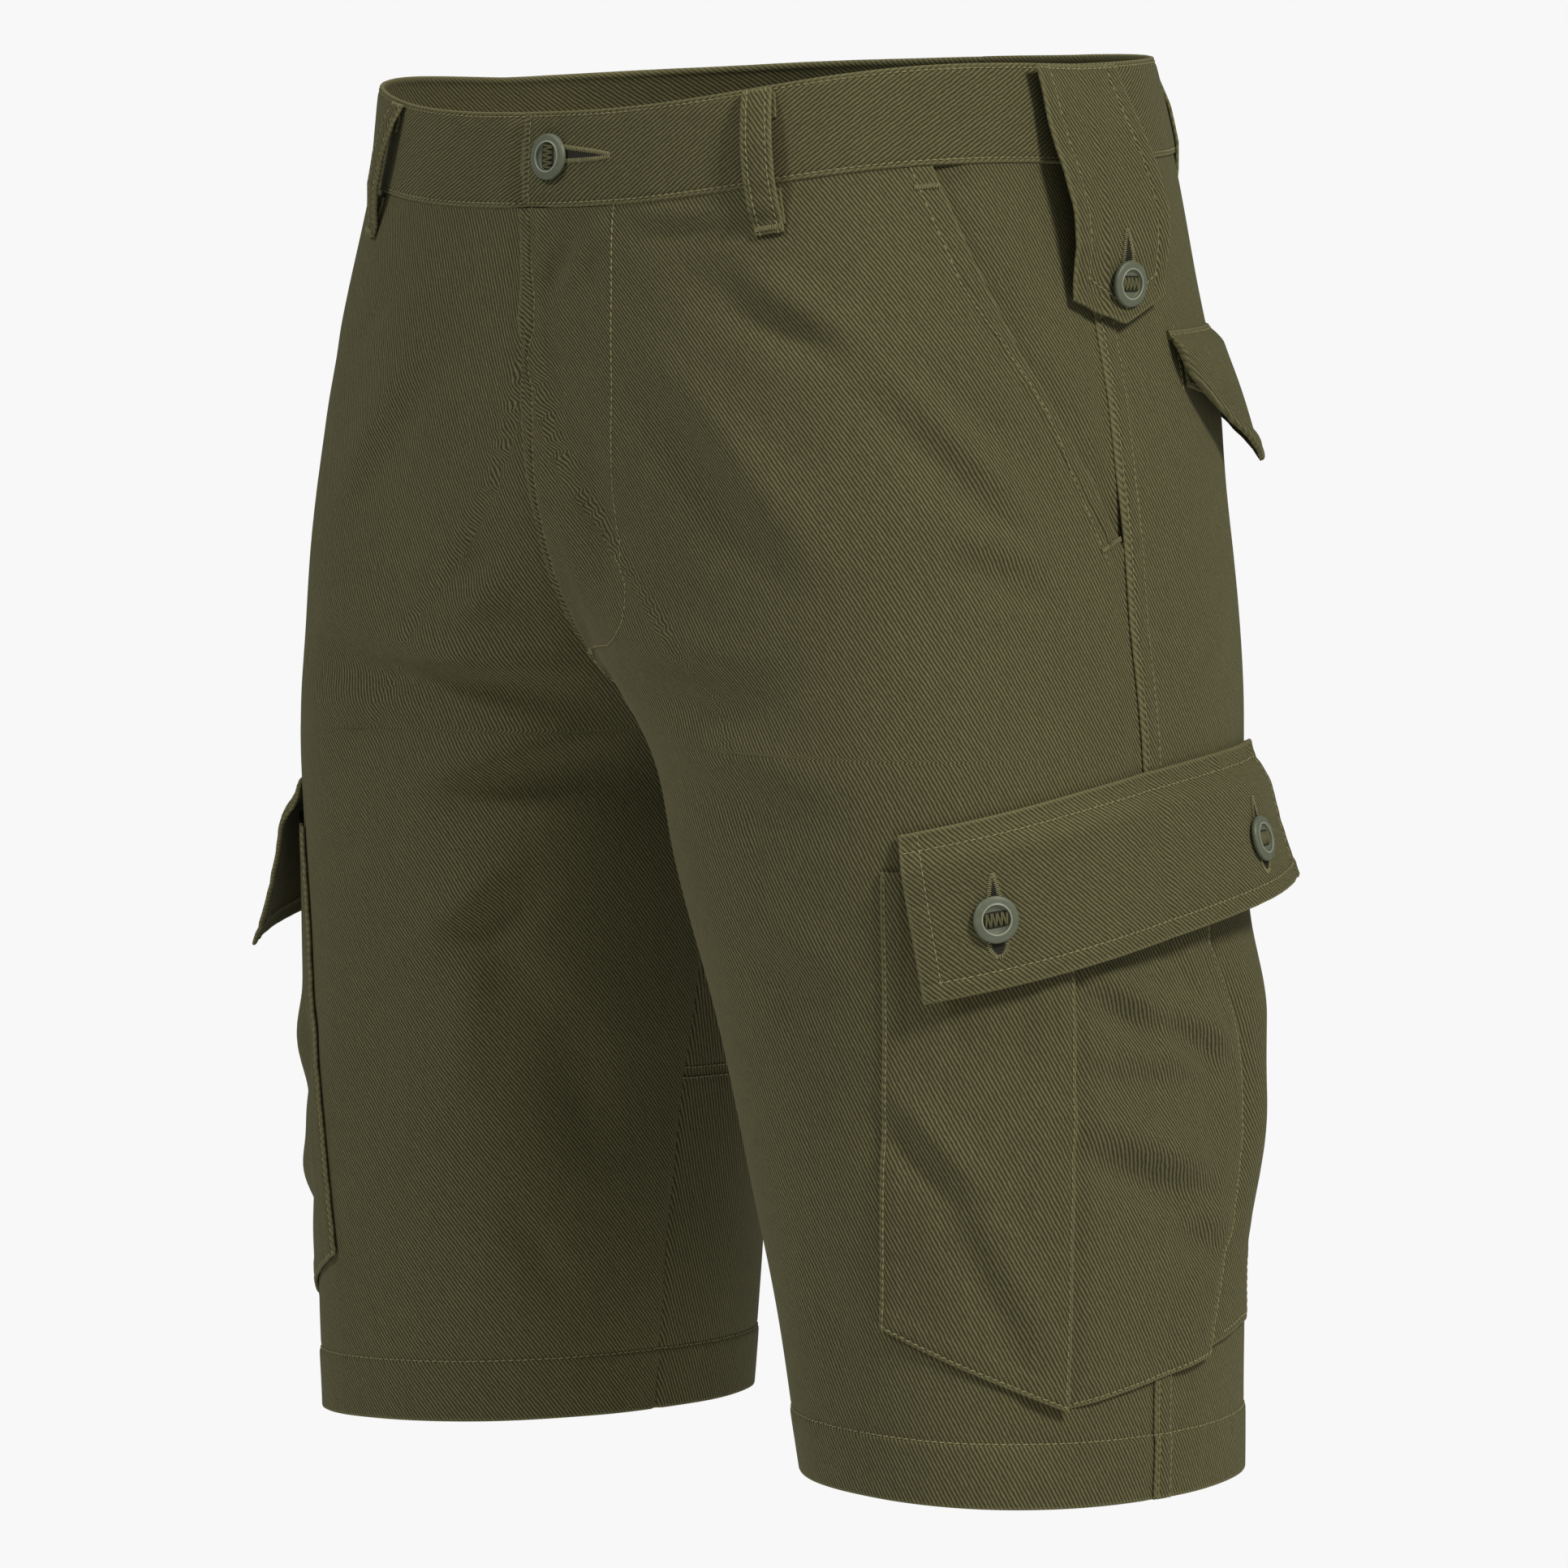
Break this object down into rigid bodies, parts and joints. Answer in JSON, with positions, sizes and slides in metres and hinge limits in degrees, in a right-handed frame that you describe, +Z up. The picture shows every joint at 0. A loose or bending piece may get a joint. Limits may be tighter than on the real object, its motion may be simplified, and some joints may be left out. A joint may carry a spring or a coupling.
{
  "type": "cargo shorts",
  "caption": "Worn, empty knee-length cargo shorts with flapped leg and back pockets, belt loops and buttoned side tabs.",
  "frame": {"origin": "centre of the waist, level with the waistband's top edge at the side seams", "axes": "+Z up the body, the wearer faces -Y, the wearer's left is +X"},
  "size_m": [0.4401, 0.281, 0.5564],
  "materials": {
    "cloth": "matte",
    "buttons": "satin"
  },
  "bodies": {
    "root": {"waistband_left": "cloth", "waistband_right": "cloth", "button_waist": "buttons", "loop_back_centre": "cloth", "front_left": "cloth", "back_left": "cloth", "hip_facing_left": "cloth", "loop_front_left": "cloth", "loop_back_left": "cloth", "side_tab_left": "cloth", "button_tab_left": "buttons", "cargo_front_left": "cloth", "cargo_rear_left": "cloth", "cargo_gusset_left": "cloth", "cargo_flap_left": "cloth", "button_cargo_front_left": "buttons", "button_cargo_rear_left": "buttons", "back_welt_left": "cloth", "back_flap_left": "cloth", "front_right": "cloth", "back_right": "cloth", "hip_facing_right": "cloth", "loop_front_right": "cloth", "loop_back_right": "cloth", "side_tab_right": "cloth", "button_tab_right": "buttons", "cargo_front_right": "cloth", "cargo_rear_right": "cloth", "cargo_gusset_right": "cloth", "cargo_flap_right": "cloth", "button_cargo_front_right": "buttons", "button_cargo_rear_right": "buttons", "back_welt_right": "cloth", "back_flap_right": "cloth"}
  },
  "joints": []
}
